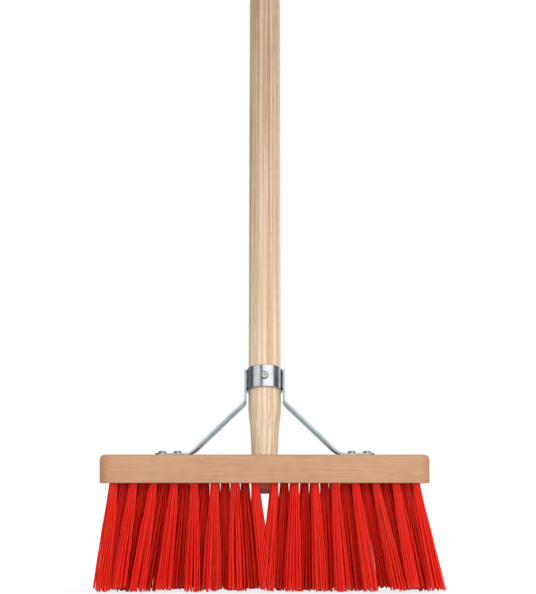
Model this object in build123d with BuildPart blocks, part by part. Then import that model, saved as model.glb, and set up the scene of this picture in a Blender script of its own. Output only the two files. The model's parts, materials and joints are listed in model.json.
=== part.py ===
from build123d import *
from math import cos, radians, sin, tan
import os

# Push broom. Millimetres, +Z up, +X along the head, +Y the way the handle leans.
# The origin is on the plane that the bristle tips stand on, under the middle of the head.

# ---------------------------------------------------------------- driving dimensions
head_length = 280.0
head_depth = 62.0
head_thickness = 24.0
head_corner_radius = 10.0
head_top_rounding = 4.0
head_bottom_bevel = 0.6
head_underside = 92.0  # the bristles' trim, from the underside to the tips

# places along the handle are distances from the middle of the head
lean_angle = 15.0  # the handle's, from the vertical
handle_length = 1370.0
handle_diameter = 28.0
handle_top_rounding = 10.0
shoulder_start = 55.0  # full diameter above this
shoulder_end = 39.0
shoulder_diameter = 25.4
foot_diameter = 19.8
foot_bevel = 0.8
foot_below_head = 7.0

collar_start = 69.8
collar_height = 20.0
collar_wall = 2.0
collar_bite = 0.2  # the band presses this far into the wood
collar_seam = 0.6
collar_rim_rounding = 0.5

strap_width = 12.0
strap_thickness = 1.8
strap_top = 88.5
knee_height = 59.8
knee_radius = 5.0
foot_bend_reach = 5.0  # of the foot's bend, each way from its corner
strap_foot_end = 94.5  # from the middle of the head
strap_foot_rounding = 5.0

# the weld beads, from the middle of the strap's width outwards
weld_start = 3.0
weld_reach = 5.6
weld_spill = 0.9  # of the bead past the strap, on the band's side
weld_throat = 1.1
weld_root = 2.0  # how far the bead reaches in behind the strap
weld_end_gap = 1.5

screw_shank_diameter = 3.6
collar_screw_length = 15.0
foot_screw_length = 10.5  # clear of the tuft holes under it
screw_point = 4.0
screw_point_taper = 22.0
screw_head_diameter = 7.0
screw_head_height = 2.0
screw_head_rounding = 1.3
screw_hole_play = 0.2
drive_slot_length = 4.2
drive_slot_width = 1.0
drive_slot_depth = 0.9
foot_screw_places = (75.0, 88.0)

tuft_pitch = 17.0
tufts_in_long_row = 16
row_count = 5
row_pitch = 12.0
tufts_clear_of_handle = 13.0  # in the rows that the handle's hole runs through
tuft_hole_diameter = 7.2
tuft_hole_depth = 15.0
tuft_root_diameter = 7.0
tuft_root_depth = 14.5
tuft_tip_diameter = 14.0
end_lean = 11.0  # the tufts near the ends lean outwards
lean_from = 45.0
lean_full = 100.0
row_splay = 2.2  # outward lean of a row, for each row away from the middle one

staple_wire = 0.9
staple_span = 5.2
staple_crown_depth = 11.0
staple_point_depth = 18.0

# ---------------------------------------------------------------- derived places
lean = radians(lean_angle)
head_top = head_underside + head_thickness
head_middle = head_underside + head_thickness / 2
half_crossing = head_thickness / 2 / cos(lean)
foot_tip = -half_crossing - foot_below_head
handle_radius = handle_diameter / 2
seat_radius = handle_radius - collar_bite
collar_radius = seat_radius + collar_wall
collar_top = collar_start + collar_height
strap_centre = collar_radius + strap_thickness / 2
middle_row = (row_count - 1) / 2

# The plane of the brace holds the handle's axis, its Y, and the head's length, its X.
brace = Plane(origin=(0, 0, head_middle), x_dir=(1, 0, 0), z_dir=(0, -cos(lean), sin(lean)))
# Square to the handle, at the middle of the head.
across_handle = Plane(origin=brace.origin, x_dir=brace.x_dir, z_dir=brace.y_dir)
# Where the band's screw goes in, square to the band, in front.
screw_seat = Plane(
    origin=brace.from_local_coords(Vector(0, collar_start + collar_height / 2, collar_radius)),
    x_dir=brace.x_dir,
    z_dir=brace.z_dir,
)


def tuft_places(row):
    """Places along the head of one row's tufts. Row 0 is in front, and odd rows are staggered."""
    count = tufts_in_long_row - row % 2
    places = [(i - (count - 1) / 2) * tuft_pitch for i in range(count)]
    hole_beside_handle = 0 < row < row_count - 1
    if hole_beside_handle:
        places = [x for x in places if abs(x) > tufts_clear_of_handle]
    return places


def tuft_seat(row, along):
    """The plane at the mouth of a tuft's hole, with its Z up the hole."""
    rank = row - middle_row
    share = min(max((abs(along) - lean_from) / (lean_full - lean_from), 0.0), 1.0)
    outwards = tan(radians(end_lean * share)) * (1 if along > 0 else -1)
    forwards = tan(radians(row_splay * rank))
    return Plane(
        origin=(along, rank * row_pitch, head_underside),
        x_dir=(1, 0, outwards),
        z_dir=(-outwards, -forwards, 1),
    )


def make_screw(seat, length):
    """A pan-head screw with a cross slot, whose head sits on the plane and points along its Z."""
    with BuildPart() as screw:
        with BuildSketch(seat):
            Circle(screw_head_diameter / 2)
        extrude(amount=screw_head_height)
        rims = screw.edges().filter_by(GeomType.CIRCLE).sort_by(Axis(seat.origin, seat.z_dir))
        fillet(rims[-1], screw_head_rounding)
        with BuildSketch(seat.offset(screw_head_height)):
            Rectangle(drive_slot_length, drive_slot_width)
            Rectangle(drive_slot_width, drive_slot_length)
        extrude(amount=-drive_slot_depth, mode=Mode.SUBTRACT)
        with BuildSketch(seat):
            Circle(screw_shank_diameter / 2)
        extrude(amount=screw_point - length)
        with BuildSketch(seat.offset(screw_point - length)):
            Circle(screw_shank_diameter / 2)
        extrude(amount=-screw_point, taper=screw_point_taper)
    return screw


# ---------------------------------------------------------------- band and its screw
collar_screw = make_screw(screw_seat, collar_screw_length)

with BuildPart() as collar:
    with BuildSketch(across_handle.offset(collar_start)):
        Circle(collar_radius)
        Circle(seat_radius, mode=Mode.SUBTRACT)
        with Locations((0, collar_radius)):
            Rectangle(collar_seam, 4 * collar_wall, mode=Mode.SUBTRACT)
    extrude(amount=collar_height)
    with Locations(screw_seat):
        Hole(screw_shank_diameter / 2 + screw_hole_play, depth=2 * collar_wall)
    outer_rims = collar.edges().filter_by(GeomType.CIRCLE).sort_by(SortBy.RADIUS)[-2:]
    fillet(outer_rims, collar_rim_rounding)

# ---------------------------------------------------------------- handle
with BuildPart() as handle:
    with BuildSketch(brace):
        with BuildLine():
            top = foot_tip + handle_length
            Polyline(
                (shoulder_diameter / 2, shoulder_end),
                (foot_diameter / 2, foot_tip),
                (0, foot_tip),
                (0, top),
                (handle_radius, top),
                (handle_radius, collar_top),
                (seat_radius, collar_top),
                (seat_radius, collar_start),
                (handle_radius, collar_start),
                (handle_radius, shoulder_start),
            )
            shoulder = ((handle_radius, shoulder_start), (shoulder_diameter / 2, shoulder_end))
            TangentArc(*shoulder, tangent=(0, -1))
        make_face()
    revolve(axis=Axis(brace.origin, brace.y_dir))
    ends = handle.edges().filter_by(GeomType.CIRCLE).sort_by(Axis(brace.origin, brace.y_dir))
    fillet(ends[-1], handle_top_rounding)
    chamfer(ends[0], foot_bevel)
    add(collar_screw.part, mode=Mode.SUBTRACT)

# ---------------------------------------------------------------- brace straps
strap_foot_level = head_top + strap_thickness / 2
foot_rise = (strap_foot_level - head_middle) / cos(lean)
bend_corner = strap_centre + knee_height - foot_rise  # the diagonal falls at 45 degrees
strap_foot_y = brace.from_local_coords(Vector(0, foot_rise, 0)).Y


def make_leg(side):
    """The strap on one side, 1 or -1: beside the band, out at 45 degrees, flat on the head."""
    bend_start = brace.from_local_coords(
        Vector(side * (bend_corner - foot_bend_reach), foot_rise + foot_bend_reach, 0)
    )
    bend_middle = Vector(side * bend_corner, strap_foot_y, strap_foot_level)
    bend_end = bend_middle + Vector(side * foot_bend_reach, 0, 0)
    falling = (bend_middle - bend_start).normalized()
    level = Vector(side, 0, 0)
    sections = 5
    with BuildPart() as leg:
        with BuildSketch(brace):
            with BuildLine() as route:
                FilletPolyline(
                    (side * strap_centre, strap_top),
                    (side * strap_centre, knee_height),
                    (side * (bend_corner - foot_bend_reach), foot_rise + foot_bend_reach),
                    radius=knee_radius,
                )
            trace(route.line, strap_thickness)
        extrude(amount=strap_width / 2, both=True)
        # the foot's bend also twists the strap square to the head
        for i in range(sections):
            t = i / (sections - 1)
            place = bend_start * (1 - t) ** 2 + bend_middle * (2 * t * (1 - t)) + bend_end * t**2
            way = falling * (1 - t) + level * t
            width = brace.z_dir * (t - 1) + Vector(0, 1, 0) * t
            with BuildSketch(Plane(origin=place, x_dir=width, z_dir=way)):
                Rectangle(strap_width, strap_thickness)
        loft()
        split(bisect_by=Plane.XY.offset(head_top), keep=Keep.TOP)
        foot_length = strap_foot_end - bend_end.X * side
        with BuildSketch(Plane.XY.offset(head_top)):
            with Locations((bend_end.X + side * foot_length / 2, strap_foot_y)):
                Rectangle(foot_length, strap_width)
        extrude(amount=strap_thickness)
        end_corners = leg.edges().filter_by(Axis.Z).sort_by(Axis((0, 0, 0), (side, 0, 0)))[-2:]
        fillet(end_corners, strap_foot_rounding)
        with Locations(*[(side * x, strap_foot_y, head_top + strap_thickness) for x in foot_screw_places]):
            Hole(screw_shank_diameter / 2 + screw_hole_play, depth=strap_thickness)
    return leg


def make_foot_screws(side):
    """The two screws through one foot."""
    with BuildPart() as screws:
        for place in foot_screw_places:
            seat = Plane((side * place, strap_foot_y, head_top + strap_thickness))
            add(make_screw(seat, foot_screw_length).part)
    return screws


def make_weld(side):
    """Beads that fill the gap between the round band and the flat strap, at both its edges."""
    with BuildPart() as weld:
        with BuildSketch(across_handle.offset(collar_start + weld_end_gap)):
            for edge in (-1, 1):
                with BuildLine():
                    Polyline(
                        (side * collar_radius, edge * weld_start),
                        (side * collar_radius, edge * weld_reach),
                        (side * (collar_radius - weld_throat), edge * (weld_reach + weld_spill)),
                        (side * (collar_radius - weld_root), edge * weld_start),
                        close=True,
                    )
                make_face()
            Circle(collar_radius, mode=Mode.SUBTRACT)
        extrude(amount=strap_top - collar_start - 2 * weld_end_gap)
    return weld


# ---------------------------------------------------------------- tufts and their staples
def make_staples(row):
    """One flat wire staple for each tuft of a row, its legs driven past the hole's bottom."""
    with BuildPart() as staples:
        for along in tuft_places(row):
            seat = tuft_seat(row, along)
            rise = staple_point_depth - staple_crown_depth
            with BuildSketch(Plane(origin=seat.origin, x_dir=seat.x_dir, z_dir=-seat.y_dir)):
                with Locations((0, staple_crown_depth + rise / 2)):
                    Rectangle(staple_span, rise)
                with Locations((0, staple_crown_depth + staple_wire + rise / 2)):
                    Rectangle(staple_span - 2 * staple_wire, rise, mode=Mode.SUBTRACT)
            extrude(amount=staple_wire / 2, both=True)
    return staples


def make_tufts(row, staples):
    """One row of tufts: a round root in each hole, widening to tips that are cut level."""
    overrun = 1.2  # the cones run past the tips' plane, which then cuts them level
    cone_length = overrun * head_underside
    cone_radius = (tuft_root_diameter + overrun * (tuft_tip_diameter - tuft_root_diameter)) / 2
    up = (Align.CENTER, Align.CENTER, Align.MIN)
    down = (Align.CENTER, Align.CENTER, Align.MAX)
    with BuildPart() as tufts:
        for along in tuft_places(row):
            with Locations(tuft_seat(row, along)):
                Cylinder(tuft_root_diameter / 2, tuft_root_depth, align=up)
                Cone(cone_radius, tuft_root_diameter / 2, cone_length, align=down)
        split(bisect_by=Plane.XY, keep=Keep.TOP)
        add(staples.part, mode=Mode.SUBTRACT)
    return tufts


legs = {"left_leg": make_leg(-1), "right_leg": make_leg(1)}
welds = {"left_weld": make_weld(-1), "right_weld": make_weld(1)}
foot_screws = {"left_foot_screws": make_foot_screws(-1), "right_foot_screws": make_foot_screws(1)}
staples = [make_staples(row) for row in range(row_count)]
tufts = [make_tufts(row, staples[row]) for row in range(row_count)]

# ---------------------------------------------------------------- head
with BuildPart() as block:
    with BuildSketch(Plane.XY.offset(head_underside)):
        RectangleRounded(head_length, head_depth, head_corner_radius)
    extrude(amount=head_thickness)
    fillet(block.faces().sort_by(Axis.Z)[-1].edges(), head_top_rounding)
    chamfer(block.faces().sort_by(Axis.Z)[0].edges(), head_bottom_bevel)
    mouth_clearance = 2.0
    upwards = (Align.CENTER, Align.CENTER, Align.MIN)
    for row in range(row_count):
        seats = [tuft_seat(row, along).offset(-mouth_clearance) for along in tuft_places(row)]
        with Locations(*seats):
            Cylinder(
                tuft_hole_diameter / 2, tuft_hole_depth + mouth_clearance, align=upwards, mode=Mode.SUBTRACT
            )
        add(staples[row].part, mode=Mode.SUBTRACT)
    add(handle.part, mode=Mode.SUBTRACT)
    for screws in foot_screws.values():
        add(screws.part, mode=Mode.SUBTRACT)

# ---------------------------------------------------------------- write every piece
pieces = {"block": block, "handle": handle, "collar": collar, "collar_screw": collar_screw}
pieces.update(legs)
pieces.update(welds)
pieces.update(foot_screws)
for row in range(row_count):
    pieces[f"tuft_row_{row + 1}"] = tufts[row]
    pieces[f"staple_row_{row + 1}"] = staples[row]

os.makedirs("parts", exist_ok=True)
for name, piece in pieces.items():
    piece.part.label = name
    export_step(piece.part, f"parts/{name}.step")
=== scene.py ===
import bpy
import itertools
import json
import math
import random
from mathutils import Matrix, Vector


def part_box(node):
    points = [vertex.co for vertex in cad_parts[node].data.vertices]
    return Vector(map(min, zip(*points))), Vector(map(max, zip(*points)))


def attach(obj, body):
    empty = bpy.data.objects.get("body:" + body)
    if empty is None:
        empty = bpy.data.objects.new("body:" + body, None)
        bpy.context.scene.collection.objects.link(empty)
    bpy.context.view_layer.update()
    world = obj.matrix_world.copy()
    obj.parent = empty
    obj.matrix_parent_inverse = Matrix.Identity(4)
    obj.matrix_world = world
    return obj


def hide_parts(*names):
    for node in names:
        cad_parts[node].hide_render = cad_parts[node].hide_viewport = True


# Push broom. Metres, in the CAD frame: +X along the head, +Y the way the pole leans, +Z up.
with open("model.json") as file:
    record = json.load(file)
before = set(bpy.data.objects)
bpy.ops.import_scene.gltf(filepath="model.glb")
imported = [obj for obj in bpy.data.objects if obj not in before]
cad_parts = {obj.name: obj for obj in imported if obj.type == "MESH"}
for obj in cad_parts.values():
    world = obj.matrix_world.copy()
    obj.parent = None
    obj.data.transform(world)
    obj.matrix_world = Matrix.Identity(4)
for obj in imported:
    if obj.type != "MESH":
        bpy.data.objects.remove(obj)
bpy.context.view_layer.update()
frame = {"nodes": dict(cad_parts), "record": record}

# ---------------------------------------------------------------- sizes
HEAD_LOW, HEAD_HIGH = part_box("block")
HEAD_UNDERSIDE = HEAD_LOW.z
HEAD_MIDDLE = (HEAD_LOW + HEAD_HIGH) / 2
MM = 0.001

TUFT_PITCH = 17.0 * MM
ROW_PITCH = 12.0 * MM
ROW_COUNT = 5
TUFTS_IN_LONG_ROW = 16
HOLE_RADIUS = 3.6 * MM
BRISTLE_RADIUS = 0.6 * MM
BRISTLES_PER_TUFT = 30
BRISTLE_ROOT_DEPTH = 4.0 * MM
BRISTLE_SIDES = 6
BRISTLE_POINTS = 6
TIP_CLEARANCE = 0.3 * MM
TUFT_FAN = 3.2 * MM  # how far a tuft widens towards its tips
TUFT_SCATTER = 1.1 * MM  # and how far one bristle strays from that
SLIM_BELLY = 0.9 * MM  # how far a front tuft swells on the way down
LOOSE_BELLY = 2.3 * MM  # and a tuft behind it
BRISTLE_BEND = 0.8 * MM
SHORT_TUFT = 3.0 * MM  # the most that a whole tuft is cut short
RAGGED_CUT = 3.4 * MM  # the most that one bristle is cut short
ROW_SPLAY = 3.5 * MM  # at the tips, for each row away from the middle one
SPLAY_ERROR = 1.0 * MM
# How far each front tuft's tips lie from straight under its root, left to right, in millimetres.
FRONT_ROW_LEANS = (-9.5, -12.5, -14, -9, -1.5, -2.5, 1, 11, -7, -1.5, 4, 6, 13, 19, 16, 18)
REAR_LEAN_ERROR = 5.0  # how far a rear tuft may differ from the front one before it, in millimetres
HANDLE_CLEARANCE = 0.75 * TUFT_PITCH  # the middle rows' tufts are further than this from the pole's axis
TUFT_SEED = 14
LEAN_SEED = 7

POLE_MOUNT = next(mount for mount in frame["record"]["mounts"] if mount["name"] == "handle")
POLE_AXIS = Vector(POLE_MOUNT["axis"]).normalized()
POLE_LEAN = math.atan2(POLE_AXIS.y, POLE_AXIS.z)
# Places along the pole, from where its axis meets the middle of the head.
# painted red-tinted shade on the foot, from the bristles' bounce light, runs between these two places
BOUNCE_SHADE_START = -12.5 * MM
BOUNCE_SHADE_END = -10.5 * MM
GREYING_START = 110.0 * MM
GREYING_END = 400.0 * MM

VIEW_PLACE = Vector((2.9 * MM, HEAD_LOW.y - 1.8, 80.0 * MM))
VIEW_TILT = math.radians(5.38)
VIEW_LENS = 128.85


# ---------------------------------------------------------------- node helpers
def feed(tree, socket, value):
    """Links a socket to an input, or sets the input's own value."""
    if isinstance(value, bpy.types.NodeSocket):
        tree.links.new(value, socket)
    else:
        socket.default_value = value


def put(tree, kind, **settings):
    """Adds a node. Settings that name a property set it, and the rest fill inputs by name."""
    made = tree.nodes.new(kind)
    inputs = settings.pop("inputs", {})
    for key, value in settings.items():
        setattr(made, key, value)
    for key, value in inputs.items():
        feed(tree, made.inputs[key], value)
    return made


def maths(tree, operation, first, second=0.0, clamp=False):
    """One arithmetic step on values or sockets."""
    made = put(tree, "ShaderNodeMath", operation=operation, use_clamp=clamp)
    for socket, value in zip(made.inputs, (first, second)):
        feed(tree, socket, value)
    return made.outputs[0]


def vectors(tree, operation, first, second=None, scale=None):
    """One vector step on vectors or sockets."""
    made = put(tree, "ShaderNodeVectorMath", operation=operation)
    for socket, value in zip(made.inputs, (first, second)):
        if value is not None:
            feed(tree, socket, value)
    if scale is not None:
        feed(tree, made.inputs["Scale"], scale)
    return made.outputs["Value" if operation == "LENGTH" else "Vector"]


def stretched(tree, place, along):
    """Shrinks a place's Z, so that a pattern read there runs long in Z."""
    return vectors(tree, "MULTIPLY", place, (1.0, 1.0, along))


def spread(tree, value, low, high, to_low=0.0, to_high=1.0):
    """Maps a value's range onto another, held at the ends."""
    made = put(tree, "ShaderNodeMapRange", clamp=True)
    tree.links.new(value, made.inputs["Value"])
    for key, number in zip(("From Min", "From Max", "To Min", "To Max"), (low, high, to_low, to_high)):
        feed(tree, made.inputs[key], number)
    return made.outputs["Result"]


def mix_colour(tree, share, first, second):
    """Mixes two colours or colour sockets."""
    made = put(tree, "ShaderNodeMix", data_type="RGBA")
    # a mix node keeps its colour sockets after its number and vector ones
    for socket, value in ((made.inputs[0], share), (made.inputs[6], first), (made.inputs[7], second)):
        feed(tree, socket, value)
    return made.outputs[2]


def noise(tree, place, scale, detail, roughness=0.5):
    """A noise value, from 0 to 1."""
    settings = {"Vector": place, "Scale": scale, "Detail": detail, "Roughness": roughness}
    return put(tree, "ShaderNodeTexNoise", inputs=settings).outputs["Fac"]


def colour(red, green, blue):
    """A display colour, 0 to 255, as the linear colour that a shader takes."""
    def linear(level):
        part = level / 255
        return part / 12.92 if part <= 0.04045 else ((part + 0.055) / 1.055) ** 2.4

    return (linear(red), linear(green), linear(blue), 1.0)


def new_group(name, inputs, outputs, kind="ShaderNodeTree"):
    """An empty node group with named sockets, given as (name, socket type, default)."""
    tree = bpy.data.node_groups.new(name, kind)
    for label, socket_type, default in inputs:
        socket = tree.interface.new_socket(label, in_out="INPUT", socket_type=socket_type)
        if default is not None:
            socket.default_value = default
    for label, socket_type in outputs:
        tree.interface.new_socket(label, in_out="OUTPUT", socket_type=socket_type)
    return tree, tree.nodes.new("NodeGroupInput").outputs, tree.nodes.new("NodeGroupOutput").inputs


# ---------------------------------------------------------------- shared effects
def wood_grain_group():
    """Grain along Z: growth rings cut lengthwise, fibres, fine wavy lines and short dark pores."""
    tree, given, wanted = new_group(
        "wood grain",
        [
            ("Place", "NodeSocketVector", None),
            ("Ring Spacing", "NodeSocketFloat", 4.0 * MM),
            ("Ring Sharpness", "NodeSocketFloat", 0.5),
            ("Wander", "NodeSocketFloat", 2.0 * MM),
            ("Fibre Scale", "NodeSocketFloat", 900.0),
            ("Pore Scale", "NodeSocketFloat", 500.0),
            ("Pore Amount", "NodeSocketFloat", 0.4),
        ],
        [("Rings", "NodeSocketFloat"), ("Fibres", "NodeSocketFloat"), ("Pores", "NodeSocketFloat")],
    )
    place = given["Place"]
    # slow sideways wander of the whole grain, and a quicker small one
    slow = maths(tree, "SUBTRACT", noise(tree, stretched(tree, place, 0.07), 22.0, 1.0), 0.5)
    quick = maths(tree, "SUBTRACT", noise(tree, stretched(tree, place, 0.08), 90.0, 2.0), 0.5)
    both = maths(tree, "ADD", slow, maths(tree, "MULTIPLY", quick, 0.3))
    wander = maths(tree, "MULTIPLY", both, given["Wander"])
    across = put(tree, "ShaderNodeSeparateXYZ", inputs={"Vector": place})
    ring_place = maths(tree, "ADD", across.outputs["X"], maths(tree, "MULTIPLY", across.outputs["Y"], 0.3))
    phase = maths(tree, "DIVIDE", maths(tree, "ADD", ring_place, wander), given["Ring Spacing"])
    # each ring darkens slowly and ends sharply, and is stronger in some places than in others
    saw = maths(tree, "FRACT", maths(tree, "ADD", phase, 50.0))
    rising = maths(tree, "POWER", saw, spread(tree, given["Ring Sharpness"], 0.0, 1.0, 1.0, 7.0))
    falling = spread(tree, saw, 0.93, 1.0, 1.0, 0.0)
    uneven = noise(tree, stretched(tree, place, 0.03), 110.0, 2.0)
    strength = spread(tree, uneven, 0.35, 0.6, 0.5, 1.0)
    rings = maths(tree, "MULTIPLY", maths(tree, "MULTIPLY", rising, falling), strength)
    tree.links.new(rings, wanted["Rings"])
    fibres = noise(tree, stretched(tree, place, 0.035), given["Fibre Scale"], 4.0, 0.65)
    tree.links.new(fibres, wanted["Fibres"])
    specks = noise(tree, stretched(tree, place, 0.09), given["Pore Scale"], 2.0)
    threshold = spread(tree, given["Pore Amount"], 0.0, 1.0, 0.72, 0.5)
    above = maths(tree, "SUBTRACT", specks, threshold)
    tree.links.new(maths(tree, "MULTIPLY", above, 9.0, clamp=True), wanted["Pores"])
    return tree


def worn_edge_and_shade_group():
    """Where a surface bends sharply outwards, broken up by noise, and a painted shade value for hollows."""
    tree, given, wanted = new_group(
        "worn edges and painted hollow shade",
        [
            ("Place", "NodeSocketVector", None),
            ("Edge Width", "NodeSocketFloat", 0.02),
            ("Patch Scale", "NodeSocketFloat", 120.0),
            ("Wear", "NodeSocketFloat", 0.5),
        ],
        [("Worn", "NodeSocketFloat"), ("Painted Shade", "NodeSocketFloat")],
    )
    point = put(tree, "ShaderNodeNewGeometry").outputs["Pointiness"]
    ridge = spread(tree, point, 0.5, maths(tree, "ADD", given["Edge Width"], 0.5))
    hollow = spread(tree, point, 0.5, 0.44)
    patches = noise(tree, given["Place"], given["Patch Scale"], 4.0, 0.6)
    broken = spread(tree, patches, 0.35, 0.65)
    worn = maths(tree, "MULTIPLY", maths(tree, "MULTIPLY", ridge, broken), given["Wear"], clamp=True)
    tree.links.new(worn, wanted["Worn"])
    # the hollow mask carries painted shade
    tree.links.new(maths(tree, "MULTIPLY", hollow, patches, clamp=True), wanted["Painted Shade"])
    return tree


WOOD_GRAIN = wood_grain_group()
WORN_EDGES_AND_SHADE = worn_edge_and_shade_group()


# ---------------------------------------------------------------- materials
def new_material(name):
    """A material with its Principled shader and its object coordinates."""
    material = bpy.data.materials.new(name)
    material.use_nodes = True
    tree = material.node_tree
    tree.nodes.clear()
    shader = put(tree, "ShaderNodeBsdfPrincipled")
    output = put(tree, "ShaderNodeOutputMaterial")
    tree.links.new(shader.outputs["BSDF"], output.inputs["Surface"])
    place = put(tree, "ShaderNodeTexCoord").outputs["Object"]
    return material, tree, shader.inputs, place


def turned(tree, place, rotation, location=(0, 0, 0)):
    """Object coordinates turned so that the grain runs along their Z."""
    mapping = put(tree, "ShaderNodeMapping", vector_type="TEXTURE", inputs={"Vector": place})
    mapping.inputs["Rotation"].default_value = rotation
    mapping.inputs["Location"].default_value = location
    return mapping.outputs["Vector"]


def use_group(tree, group, **values):
    """Places a shared effect with its own values, given with underscores for spaces."""
    made = put(tree, "ShaderNodeGroup", node_tree=group)
    for key, value in values.items():
        feed(tree, made.inputs[key.replace("_", " ")], value)
    return made.outputs


def bumped(tree, shader, height, distance, strength):
    """Feeds the shader's normal from a height."""
    bump = put(tree, "ShaderNodeBump", inputs={"Height": height, "Distance": distance, "Strength": strength})
    tree.links.new(bump.outputs["Normal"], shader["Normal"])


def head_beech():
    """Bare sanded beech: fine wavy lines along the head, browner end grain, rubbed edges."""
    material, tree, shader, place = new_material("head beech")
    grain_place = turned(tree, place, rotation=(0, math.radians(90), 0))
    grain = use_group(
        tree, WOOD_GRAIN, Place=grain_place, Ring_Spacing=1.7 * MM, Ring_Sharpness=0.5, Wander=9.0 * MM,
        Fibre_Scale=520.0, Pore_Scale=900.0, Pore_Amount=0.6,
    )
    clouds = noise(tree, vectors(tree, "MULTIPLY", place, (0.3, 1.0, 1.0)), 16.0, 2.0)
    tone = mix_colour(tree, spread(tree, clouds, 0.3, 0.7), colour(188, 139, 104), colour(199, 152, 116))
    ringed = mix_colour(tree, maths(tree, "MULTIPLY", grain["Rings"], 0.5), tone, colour(160, 110, 78))
    pale_fibres = spread(tree, grain["Fibres"], 0.38, 0.62, 0.0, 0.6)
    fibred = mix_colour(tree, pale_fibres, ringed, colour(211, 167, 132))
    pored = mix_colour(tree, maths(tree, "MULTIPLY", grain["Pores"], 0.25), fibred, colour(140, 92, 62))
    # end grain shows where the surface faces along the head
    normal = put(tree, "ShaderNodeTexCoord").outputs["Normal"]
    facing = put(tree, "ShaderNodeSeparateXYZ", inputs={"Vector": normal})
    ends = spread(tree, maths(tree, "ABSOLUTE", facing.outputs["X"]), 0.1, 0.8)
    ended = mix_colour(tree, maths(tree, "MULTIPLY", ends, 0.8), pored, colour(190, 136, 88))
    edges = use_group(tree, WORN_EDGES_AND_SHADE, Place=place, Edge_Width=0.03, Patch_Scale=60.0, Wear=0.5)
    finished = mix_colour(tree, edges["Worn"], ended, colour(206, 160, 124))
    tree.links.new(finished, shader["Base Color"])
    tree.links.new(spread(tree, grain["Fibres"], 0.2, 0.8, 0.62, 0.5), shader["Roughness"])
    relief = maths(tree, "SUBTRACT", grain["Fibres"], maths(tree, "MULTIPLY", grain["Pores"], 0.8))
    bumped(tree, shader, relief, 0.15 * MM, 0.5)
    shader["Specular IOR Level"].default_value = 0.35
    return material


def pole_pine():
    """Bare turned pine: pale early wood with orange late-wood lines, darker and greyer towards the top."""
    material, tree, shader, place = new_material("pole pine")
    grain_place = turned(tree, place, rotation=(-POLE_LEAN, 0, 0), location=HEAD_MIDDLE)
    grain = use_group(
        tree, WOOD_GRAIN, Place=grain_place, Ring_Spacing=4.8 * MM, Ring_Sharpness=0.45, Wander=5.0 * MM,
        Fibre_Scale=900.0, Pore_Scale=1300.0, Pore_Amount=0.5,
    )
    along = put(tree, "ShaderNodeSeparateXYZ", inputs={"Vector": grain_place}).outputs["Z"]
    greying = spread(tree, along, GREYING_START, GREYING_END)
    tone = mix_colour(tree, greying, colour(238, 220, 195), colour(206, 176, 146))
    late = mix_colour(tree, greying, colour(204, 146, 82), colour(150, 102, 64))
    dark = mix_colour(tree, greying, colour(172, 116, 68), colour(140, 102, 76))
    bands = noise(tree, stretched(tree, grain_place, 0.012), 420.0, 2.0)
    banded = mix_colour(tree, spread(tree, bands, 0.48, 0.66, 0.0, 0.6), tone, late)
    ringed = mix_colour(tree, maths(tree, "MULTIPLY", grain["Rings"], 0.9), banded, late)
    fibred = mix_colour(tree, spread(tree, grain["Fibres"], 0.45, 0.72, 0.0, 0.35), ringed, late)
    pored = mix_colour(tree, maths(tree, "MULTIPLY", grain["Pores"], 0.45), fibred, dark)
    # painted shade, tinted red by light bouncing off the bristles, on the foot where it shows under the head
    foot = spread(tree, along, BOUNCE_SHADE_START, BOUNCE_SHADE_END, 0.75, 0.0)
    bounce_shaded = mix_colour(tree, foot, pored, colour(215, 58, 26))
    edges = use_group(tree, WORN_EDGES_AND_SHADE, Place=place, Edge_Width=0.05, Patch_Scale=80.0, Wear=0.2)
    finished = mix_colour(tree, edges["Worn"], bounce_shaded, colour(236, 214, 186))
    tree.links.new(finished, shader["Base Color"])
    tree.links.new(spread(tree, grain["Fibres"], 0.2, 0.8, 0.58, 0.44), shader["Roughness"])
    relief = maths(tree, "ADD", grain["Fibres"], maths(tree, "MULTIPLY", grain["Rings"], 0.5))
    bumped(tree, shader, relief, 0.12 * MM, 0.5)
    shader["Specular IOR Level"].default_value = 0.35
    return material


def zinc(name, tint, shine, blotch):
    """Zinc-plated steel: bright, faintly blue, with soft blotches, fine scuffs, worn edges and painted shade
    in hollows.
    """
    material, tree, shader, place = new_material(name)
    blotches = noise(tree, place, 130.0, 3.0, 0.55)
    scuffs = noise(tree, stretched(tree, place, 0.1), 1500.0, 2.0, 0.6)
    fresh = (*tint, 1.0)
    dull = (tint[0] * 0.74, tint[1] * 0.78, tint[2] * 0.8, 1.0)
    plated = mix_colour(tree, spread(tree, blotches, 0.35, 0.7, 0.0, blotch), fresh, dull)
    edges = use_group(tree, WORN_EDGES_AND_SHADE, Place=place, Edge_Width=0.02, Patch_Scale=300.0, Wear=0.25)
    worn = mix_colour(tree, edges["Worn"], plated, (0.42, 0.43, 0.44, 1.0))
    # painted shade: near black mixed into the hollows
    hollow_shaded = mix_colour(tree, maths(tree, "MULTIPLY", edges["Painted Shade"], 0.7), worn, (0.10, 0.09, 0.08, 1.0))
    tree.links.new(hollow_shaded, shader["Base Color"])
    uneven = spread(tree, blotches, 0.3, 0.7, shine, shine + 0.1)
    scuffed = maths(tree, "ADD", uneven, maths(tree, "MULTIPLY", scuffs, 0.06))
    tree.links.new(scuffed, shader["Roughness"])
    shader["Metallic"].default_value = 1.0
    bumped(tree, shader, scuffs, 0.01 * MM, 0.2)
    return material


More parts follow.
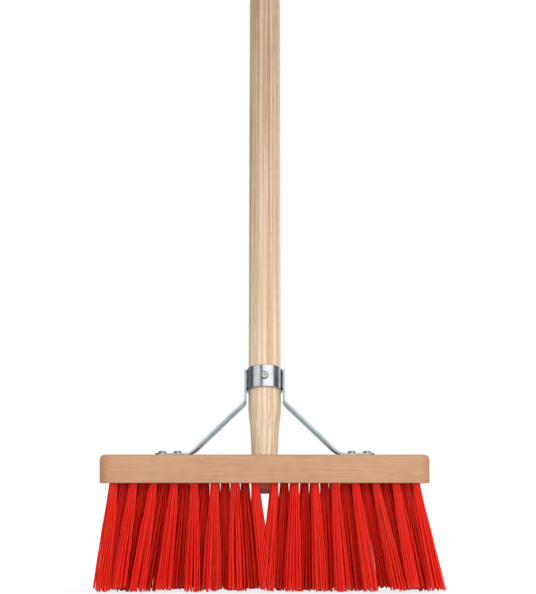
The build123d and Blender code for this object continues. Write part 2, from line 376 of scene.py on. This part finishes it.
def bristle_red():
    """Red plastic bristle that lets light through: each its own tone, with paler tips and painted shade at
    the roots.
    """
    material, tree, shader, place = new_material("bristle red")
    tone = put(tree, "ShaderNodeAttribute", attribute_name="tone").outputs["Fac"]
    run = put(tree, "ShaderNodeAttribute", attribute_name="run").outputs["Fac"]
    bright = mix_colour(tree, tone, colour(252, 20, 2), colour(255, 42, 8))
    streaks = noise(tree, stretched(tree, place, 0.05), 900.0, 2.0)
    streaked = mix_colour(tree, spread(tree, streaks, 0.4, 0.75, 0.0, 0.3), bright, colour(232, 8, 4))
    # painted shade: the bristles darken towards their roots under the head
    root_shaded = mix_colour(tree, spread(tree, run, 0.0, 0.14, 0.3, 0.0), streaked, colour(190, 6, 4))
    tipped = mix_colour(tree, spread(tree, run, 0.95, 1.0, 0.0, 0.3), root_shaded, colour(252, 100, 80))
    tree.links.new(tipped, shader["Base Color"])
    tree.links.new(spread(tree, streaks, 0.3, 0.7, 0.26, 0.4), shader["Roughness"])
    shader["Specular IOR Level"].default_value = 0.28
    shader["Subsurface Weight"].default_value = 0.6
    shader["Subsurface Radius"].default_value = (1.0, 0.06, 0.03)
    shader["Subsurface Scale"].default_value = 3.0 * MM
    bumped(tree, shader, streaks, 0.03 * MM, 0.4)
    return material


HEAD_BEECH = head_beech()
POLE_PINE = pole_pine()
BAND_ZINC = zinc("band zinc", (0.43, 0.45, 0.47), 0.16, 0.3)
STRAP_ZINC = zinc("strap zinc", (0.27, 0.34, 0.36), 0.26, 0.4)
SCREW_ZINC = zinc("screw zinc", (0.36, 0.37, 0.35), 0.2, 0.8)
WELD_GREY = zinc("weld grey", (0.22, 0.23, 0.24), 0.42, 1.0)
STAPLE_STEEL = zinc("staple steel", (0.45, 0.45, 0.46), 0.35, 0.8)
BRISTLE_RED = bristle_red()

for node_name, material in {
    "block": HEAD_BEECH,
    "handle": POLE_PINE,
    "collar": BAND_ZINC,
    "collar_screw": SCREW_ZINC,
    "left_leg": STRAP_ZINC,
    "right_leg": STRAP_ZINC,
    "left_weld": WELD_GREY,
    "right_weld": WELD_GREY,
    "left_foot_screws": SCREW_ZINC,
    "right_foot_screws": SCREW_ZINC,
    **{f"staple_row_{row + 1}": STAPLE_STEEL for row in range(ROW_COUNT)},
}.items():
    mesh = frame["nodes"][node_name].data
    mesh.materials.clear()
    mesh.materials.append(material)


# ---------------------------------------------------------------- bristles
def bristle_tree():
    """Geometry Nodes: at each tuft root, a bundle of bent bristles that fans out to ragged tips."""
    tree, given, wanted = new_group(
        "bristle tufts",
        [
            ("Geometry", "NodeSocketGeometry", None),
            ("Bristles", "NodeSocketInt", BRISTLES_PER_TUFT),
            ("Hole Radius", "NodeSocketFloat", HOLE_RADIUS),
            ("Bristle Radius", "NodeSocketFloat", BRISTLE_RADIUS),
            ("Trim", "NodeSocketFloat", HEAD_UNDERSIDE),
            ("Root Depth", "NodeSocketFloat", BRISTLE_ROOT_DEPTH),
            ("Fan", "NodeSocketFloat", TUFT_FAN),
            ("Scatter", "NodeSocketFloat", TUFT_SCATTER),
            ("Belly", "NodeSocketFloat", LOOSE_BELLY),
            ("Bend", "NodeSocketFloat", BRISTLE_BEND),
            ("Uneven", "NodeSocketFloat", SHORT_TUFT),
            ("Ragged", "NodeSocketFloat", RAGGED_CUT),
            ("Seed", "NodeSocketInt", TUFT_SEED),
            ("Material", "NodeSocketMaterial", None),
        ],
        [("Geometry", "NodeSocketGeometry")],
        "GeometryNodeTree",
    )
    streams = itertools.count(1)
    every_way = ((-1, -1, 0), (1, 1, 0), "FLOAT_VECTOR")

    def chance(low, high, kind="FLOAT"):
        """A random number or vector for each element, with its own stream of the seed."""
        made = put(tree, "FunctionNodeRandomValue", data_type=kind)
        first = 0 if kind == "FLOAT_VECTOR" else 2
        for socket, value in zip(made.inputs[first:first + 2], (low, high)):
            feed(tree, socket, value)
        tree.links.new(maths(tree, "ADD", given["Seed"], 31.0 * next(streams)), made.inputs["Seed"])
        return made.outputs[0 if kind == "FLOAT_VECTOR" else 1]

    def captured(geometry, value, kind):
        """Keeps a value on the points. Returns the geometry and the kept value."""
        made = put(tree, "GeometryNodeCaptureAttribute", inputs={"Geometry": geometry})
        made.capture_items.new(kind, "Kept")
        tree.links.new(value, made.inputs[1])
        return made.outputs["Geometry"], made.outputs[1]

    geometry, turn = captured(given["Geometry"], chance(0.0, 2 * math.pi), "FLOAT")
    # a few whole tufts are cut shorter than the rest
    shortness = maths(tree, "MULTIPLY", maths(tree, "POWER", chance(0.0, 1.0), 2.0), given["Uneven"])
    geometry, short = captured(geometry, shortness, "FLOAT")
    fall = put(
        tree, "GeometryNodeInputNamedAttribute", data_type="FLOAT_VECTOR", inputs={"Name": "fall"},
    ).outputs[0]
    many = put(
        tree, "GeometryNodeDuplicateElements", domain="POINT",
        inputs={"Geometry": geometry, "Amount": given["Bristles"]},
    )
    number = many.outputs["Duplicate Index"]
    # the roots fill the hole in a sunflower pattern
    share = maths(tree, "DIVIDE", maths(tree, "ADD", number, 0.5), given["Bristles"])
    reach = maths(tree, "SUBTRACT", given["Hole Radius"], given["Bristle Radius"])
    ring = maths(tree, "SQRT", share)
    golden = math.pi * (3 - math.sqrt(5))
    angle = maths(tree, "ADD", maths(tree, "MULTIPLY", number, golden), turn)
    spoke = put(
        tree, "ShaderNodeCombineXYZ",
        inputs={
            "X": maths(tree, "MULTIPLY", maths(tree, "COSINE", angle), ring),
            "Y": maths(tree, "MULTIPLY", maths(tree, "SINE", angle), ring),
        },
    ).outputs[0]
    middle = put(tree, "GeometryNodeInputPosition").outputs[0]
    root = vectors(tree, "ADD", middle, vectors(tree, "SCALE", spoke, scale=reach))
    scatter = vectors(tree, "SCALE", chance(*every_way), scale=given["Scatter"])
    fan = vectors(tree, "ADD", vectors(tree, "SCALE", spoke, scale=given["Fan"]), scatter)
    cut = maths(tree, "MULTIPLY", maths(tree, "POWER", chance(0.0, 1.0), 1.3), given["Ragged"])
    lost = maths(tree, "ADD", maths(tree, "ADD", cut, short), TIP_CLEARANCE)
    drop = maths(tree, "SUBTRACT", given["Trim"], lost)
    share_down = maths(tree, "DIVIDE", drop, given["Trim"])
    to_tip = vectors(tree, "SCALE", vectors(tree, "ADD", fall, fan), scale=share_down)
    # every tuft swells a little below the head, and few bristles bend much more than that
    strength = maths(tree, "POWER", chance(0.0, 1.0), 3.0)
    loose = vectors(
        tree, "SCALE", chance(*every_way),
        scale=maths(tree, "MULTIPLY", strength, maths(tree, "MULTIPLY", given["Bend"], 3.0)),
    )
    bend = vectors(tree, "ADD", vectors(tree, "SCALE", spoke, scale=given["Belly"]), loose)
    geometry, root = captured(many.outputs["Geometry"], root, "VECTOR")
    geometry, to_tip = captured(geometry, to_tip, "VECTOR")
    geometry, bend = captured(geometry, bend, "VECTOR")
    geometry, tone = captured(geometry, chance(0.0, 1.0), "FLOAT")
    line = put(tree, "GeometryNodeCurvePrimitiveLine", inputs={"Start": (0, 0, 0), "End": (0, 0, -1)})
    even = put(tree, "GeometryNodeResampleCurve", inputs={"Curve": line.outputs[0], "Count": BRISTLE_POINTS})
    copies = put(tree, "GeometryNodeInstanceOnPoints", inputs={
        "Points": geometry, "Instance": even.outputs[0],
    })
    real = put(tree, "GeometryNodeRealizeInstances", inputs={"Geometry": copies.outputs[0]})
    run = put(tree, "GeometryNodeSplineParameter").outputs["Factor"]
    # a bend grows down to seven tenths of the way and eases off towards the tips
    bow = maths(tree, "SINE", maths(tree, "MULTIPLY", run, 2.2))
    straight = vectors(tree, "ADD", root, vectors(tree, "SCALE", to_tip, scale=run))
    shaped = vectors(tree, "ADD", straight, vectors(tree, "SCALE", bend, scale=bow))
    sunk = put(tree, "ShaderNodeCombineXYZ", inputs={
        "Z": maths(tree, "MULTIPLY", given["Root Depth"], spread(tree, run, 0.0, 0.2, 1.0, 0.0)),
    }).outputs[0]
    placed = put(tree, "GeometryNodeSetPosition", inputs={
        "Geometry": real.outputs[0], "Position": vectors(tree, "ADD", shaped, sunk),
    })
    toned = put(tree, "GeometryNodeStoreNamedAttribute", data_type="FLOAT", domain="POINT", inputs={
        "Geometry": placed.outputs[0], "Name": "tone", "Value": tone,
    })
    measured = put(tree, "GeometryNodeStoreNamedAttribute", data_type="FLOAT", domain="POINT", inputs={
        "Geometry": toned.outputs[0], "Name": "run", "Value": run,
    })
    section = put(tree, "GeometryNodeCurvePrimitiveCircle", inputs={
        "Resolution": BRISTLE_SIDES, "Radius": given["Bristle Radius"],
    })
    solid = put(tree, "GeometryNodeCurveToMesh", inputs={
        "Curve": measured.outputs[0], "Profile Curve": section.outputs[0], "Fill Caps": True,
    })
    real_again = put(tree, "GeometryNodeRealizeInstances", inputs={"Geometry": solid.outputs[0]})
    coloured = put(tree, "GeometryNodeSetMaterial", inputs={
        "Geometry": real_again.outputs[0], "Material": given["Material"],
    })
    tree.links.new(coloured.outputs[0], wanted["Geometry"])
    return tree


def run_tree(name, mesh, tree, **values):
    """Runs a node tree on a mesh and returns the result as a plain object at the origin."""
    host = bpy.data.objects.new(name + "_host", mesh)
    bpy.context.scene.collection.objects.link(host)
    modifier = host.modifiers.new("tree", "NODES")
    modifier.node_group = tree
    sockets = {item.name: item.identifier for item in tree.interface.items_tree if item.in_out == "INPUT"}
    for key, value in values.items():
        modifier[sockets[key.replace("_", " ")]] = value
    bpy.context.view_layer.update()
    result = bpy.data.meshes.new_from_object(host.evaluated_get(bpy.context.evaluated_depsgraph_get()))
    bpy.data.objects.remove(host)
    result.name = name
    made = bpy.data.objects.new(name, result)
    bpy.context.scene.collection.objects.link(made)
    return made


def tuft_places(row):
    """Places along the head of one row's tufts. Row 0 is in front, and odd rows are staggered."""
    count = TUFTS_IN_LONG_ROW - row % 2
    places = [(i - (count - 1) / 2) * TUFT_PITCH for i in range(count)]
    if 0 < row < ROW_COUNT - 1:
        places = [x for x in places if abs(x) > HANDLE_CLEARANCE]
    return places


def tuft_lean(row, along, chooser):
    """How far along the head a tuft's tips lie from its root."""
    position = along / TUFT_PITCH + (TUFTS_IN_LONG_ROW - 1) / 2
    left = min(max(int(math.floor(position)), 0), TUFTS_IN_LONG_ROW - 1)
    right = min(left + 1, TUFTS_IN_LONG_ROW - 1)
    step = FRONT_ROW_LEANS[right] - FRONT_ROW_LEANS[left]
    lean = FRONT_ROW_LEANS[left] + step * (position - left)
    error = chooser.uniform(-REAR_LEAN_ERROR, REAR_LEAN_ERROR) if row else 0.0
    return (lean + error) * MM


def root_mesh(row, chooser):
    """One vertex at each tuft's root, with the way to its tips as an attribute."""
    rank = row - (ROW_COUNT - 1) / 2
    places = tuft_places(row)
    mesh = bpy.data.meshes.new(f"tuft_roots_{row + 1}")
    mesh.from_pydata([(x, rank * ROW_PITCH, HEAD_UNDERSIDE) for x in places], [], [])
    fall = mesh.attributes.new("fall", "FLOAT_VECTOR", "POINT")
    for x, item in zip(places, fall.data):
        splay = rank * ROW_SPLAY + chooser.uniform(-SPLAY_ERROR, SPLAY_ERROR)
        item.vector = (tuft_lean(row, x, chooser), splay, -HEAD_UNDERSIDE)
    return mesh


BRISTLE_TREE = bristle_tree()
chooser = random.Random(LEAN_SEED)
for row in range(ROW_COUNT):
    # the front tufts are slim, and the ones behind are looser and fill the gaps
    bristles = run_tree(
        f"bristles_row_{row + 1}", root_mesh(row, chooser), BRISTLE_TREE,
        Bristles=BRISTLES_PER_TUFT, Hole_Radius=HOLE_RADIUS, Bristle_Radius=BRISTLE_RADIUS,
        Trim=HEAD_UNDERSIDE, Root_Depth=BRISTLE_ROOT_DEPTH, Fan=TUFT_FAN, Scatter=TUFT_SCATTER,
        Belly=LOOSE_BELLY if row else SLIM_BELLY, Bend=BRISTLE_BEND, Uneven=SHORT_TUFT, Ragged=RAGGED_CUT,
        Seed=TUFT_SEED + row, Material=BRISTLE_RED,
    )
    for face in bristles.data.polygons:
        face.use_smooth = True
    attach(bristles, "root")
    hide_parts(f"tuft_row_{row + 1}")


# ---------------------------------------------------------------- stage, light and camera
def pale_floor():
    """A wide pale floor under the bristle tips, with a soft contact shadow and a white distance."""
    size = 30.0
    corners = [(-size, -size, 0), (size, -size, 0), (size, size, 0), (-size, size, 0)]
    mesh = bpy.data.meshes.new("floor")
    mesh.from_pydata(corners, [], [(0, 1, 2, 3)])
    floor = bpy.data.objects.new("floor", mesh)
    bpy.context.scene.collection.objects.link(floor)
    material, tree, shader, place = new_material("pale floor")
    tone = noise(tree, place, 3.0, 2.0)
    paper = mix_colour(tree, tone, (0.84, 0.84, 0.84, 1), (0.88, 0.88, 0.88, 1))
    tree.links.new(paper, shader["Base Color"])
    shader["Roughness"].default_value = 0.9
    shader["Specular IOR Level"].default_value = 0.0
    # to the camera the floor glows, more so with distance, and its shadows are faint
    away = vectors(tree, "LENGTH", place)
    glow = put(tree, "ShaderNodeEmission", inputs={"Strength": spread(tree, away, 0.15, 0.8, 0.8, 1.0)})
    principled = tree.nodes["Principled BSDF"].outputs[0]
    dimmed = put(tree, "ShaderNodeMixShader", inputs={0: 0.72})
    tree.links.new(principled, dimmed.inputs[1])
    both = put(tree, "ShaderNodeAddShader")
    tree.links.new(glow.outputs[0], both.inputs[0])
    tree.links.new(dimmed.outputs[0], both.inputs[1])
    seen = put(tree, "ShaderNodeLightPath").outputs["Is Camera Ray"]
    either = put(tree, "ShaderNodeMixShader", inputs={0: seen})
    tree.links.new(principled, either.inputs[1])
    tree.links.new(both.outputs[0], either.inputs[2])
    tree.links.new(either.outputs[0], tree.nodes["Material Output"].inputs["Surface"])
    mesh.materials.append(material)


def soft_box(name, place, aim, size, radiance):
    """A large soft light that points at a place and is as bright per square metre as asked."""
    light = bpy.data.lights.new(name, "AREA")
    light.shape = "RECTANGLE"
    light.size, light.size_y = size
    light.energy = radiance * math.pi * size[0] * size[1]
    lamp = bpy.data.objects.new(name, light)
    bpy.context.scene.collection.objects.link(lamp)
    lamp.location = place
    lamp.rotation_mode = "QUATERNION"
    lamp.rotation_quaternion = (Vector(aim) - Vector(place)).to_track_quat("-Z", "Y")
    lamp.visible_camera = False


def around(azimuth, distance, height):
    """A place round the object. Azimuth 0 is in front, and 90 is to the right."""
    turn = math.radians(azimuth)
    return (distance * math.sin(turn), -distance * math.cos(turn), height)


def studio_world():
    """White to the camera, and a dim cool room to everything else."""
    world = bpy.data.worlds.new("studio")
    bpy.context.scene.world = world
    world.use_nodes = True
    tree = world.node_tree
    tree.nodes.clear()
    seen = put(tree, "ShaderNodeBackground", inputs={"Color": (1, 1, 1, 1), "Strength": 1.0})
    room = put(tree, "ShaderNodeBackground", inputs={"Color": (0.85, 0.93, 1.0, 1), "Strength": 0.16})
    ray = put(tree, "ShaderNodeLightPath").outputs["Is Camera Ray"]
    both = put(tree, "ShaderNodeMixShader", inputs={0: ray})
    tree.links.new(room.outputs[0], both.inputs[1])
    tree.links.new(seen.outputs[0], both.inputs[2])
    tree.links.new(both.outputs[0], put(tree, "ShaderNodeOutputWorld").inputs["Surface"])


def camera():
    """Low in front of the head, tipped up a little, with a long lens."""
    data = bpy.data.cameras.new("camera")
    data.lens = VIEW_LENS
    data.sensor_width = 36.0
    data.clip_start = 0.05
    data.clip_end = 60.0
    eye = bpy.data.objects.new("camera", data)
    bpy.context.scene.collection.objects.link(eye)
    eye.location = VIEW_PLACE
    eye.rotation_euler = (math.radians(90) + VIEW_TILT, 0, 0)
    bpy.context.scene.camera = eye


pale_floor()
SHOULDER = (0, 0, 0.25)
TIPS = (0, 0, 0.06)
for name, place, aim, size, radiance in (
    ("left_panel", around(-58, 1.8, 1.45), SHOULDER, (1.8, 1.1), 1.5),
    ("right_panel", around(26, 2.0, 1.2), SHOULDER, (2.9, 2.2), 2.0),
    ("low_fill", around(0, 1.9, 0.12), TIPS, (1.8, 0.4), 1.8),
    ("left_side_panel", around(-137, 2.2, 1.2), SHOULDER, (2.0, 2.2), 0.35),
    ("right_side_panel", around(130, 2.2, 1.2), SHOULDER, (2.0, 2.2), 1.2),
    ("top_panel", around(0, 0.2, 2.6), SHOULDER, (2.4, 2.0), 1.0),
    ("back_panel", around(180, 2.4, 1.2), SHOULDER, (3.6, 2.2), 1.0),
):
    soft_box(name, place, aim, size, radiance)
studio_world()
camera()
bpy.context.scene.view_settings.view_transform = "Standard"
